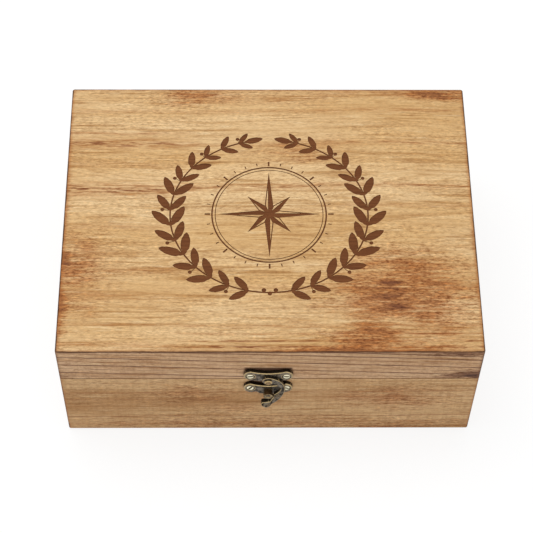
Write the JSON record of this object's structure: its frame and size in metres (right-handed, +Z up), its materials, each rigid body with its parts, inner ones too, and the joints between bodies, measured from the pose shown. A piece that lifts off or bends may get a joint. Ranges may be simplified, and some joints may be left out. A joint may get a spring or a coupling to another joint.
{
  "type": "hinged wooden keepsake box",
  "caption": "Rectangular softwood keepsake box with a hinged lid, surface butt hinges at the back and a swing-hook latch on the front.",
  "frame": {"origin": "middle of the underside of the box body, on the plane that it stands on", "axes": "+X along the width, to the right seen from the latch; +Y from the latch's side to the hinges' side; +Z up"},
  "size_m": [0.24, 0.199, 0.0925],
  "materials": {
    "pale_wood": "unvarnished light softwood with browned grain and scorched edges",
    "antique_bronze": "darkened, rubbed bright on its edges",
    "screw_brass": "satin"
  },
  "bodies": {
    "base": {"base_front_wall": "pale_wood", "base_back_wall": "pale_wood", "base_left_wall": "pale_wood", "base_right_wall": "pale_wood", "bottom_panel": "pale_wood", "left_hinge_base_leaf": "antique_bronze", "right_hinge_base_leaf": "antique_bronze", "left_hinge_pin": "antique_bronze", "right_hinge_pin": "antique_bronze", "catch_plate": "antique_bronze", "catch_post": "antique_bronze", "base_hinge_screws": "screw_brass", "catch_plate_screws": "screw_brass"},
    "lid": {"lid_front_rail": "pale_wood", "lid_back_rail": "pale_wood", "lid_left_rail": "pale_wood", "lid_right_rail": "pale_wood", "lid_top_panel": "pale_wood", "left_hinge_lid_leaf": "antique_bronze", "right_hinge_lid_leaf": "antique_bronze", "hook_plate": "antique_bronze", "hook_rivet": "antique_bronze", "lid_hinge_screws": "screw_brass", "hook_plate_screws": "screw_brass"},
    "hook": {"latch_hook": "antique_bronze"}
  },
  "joints": [
    {"name": "lid_hinge", "type": "hinge", "parent": "base", "child": "lid", "pos_m": [0, 0.0952, 0.062], "axis": [-1, 0, 0], "range_deg": [0, 180]},
    {"name": "hook_pivot", "type": "hinge", "parent": "lid", "child": "hook", "pos_m": [-0.0009, -0.0966, 0.0668], "axis": [0, -1, 0], "range_deg": [0, 301]}
  ]
}
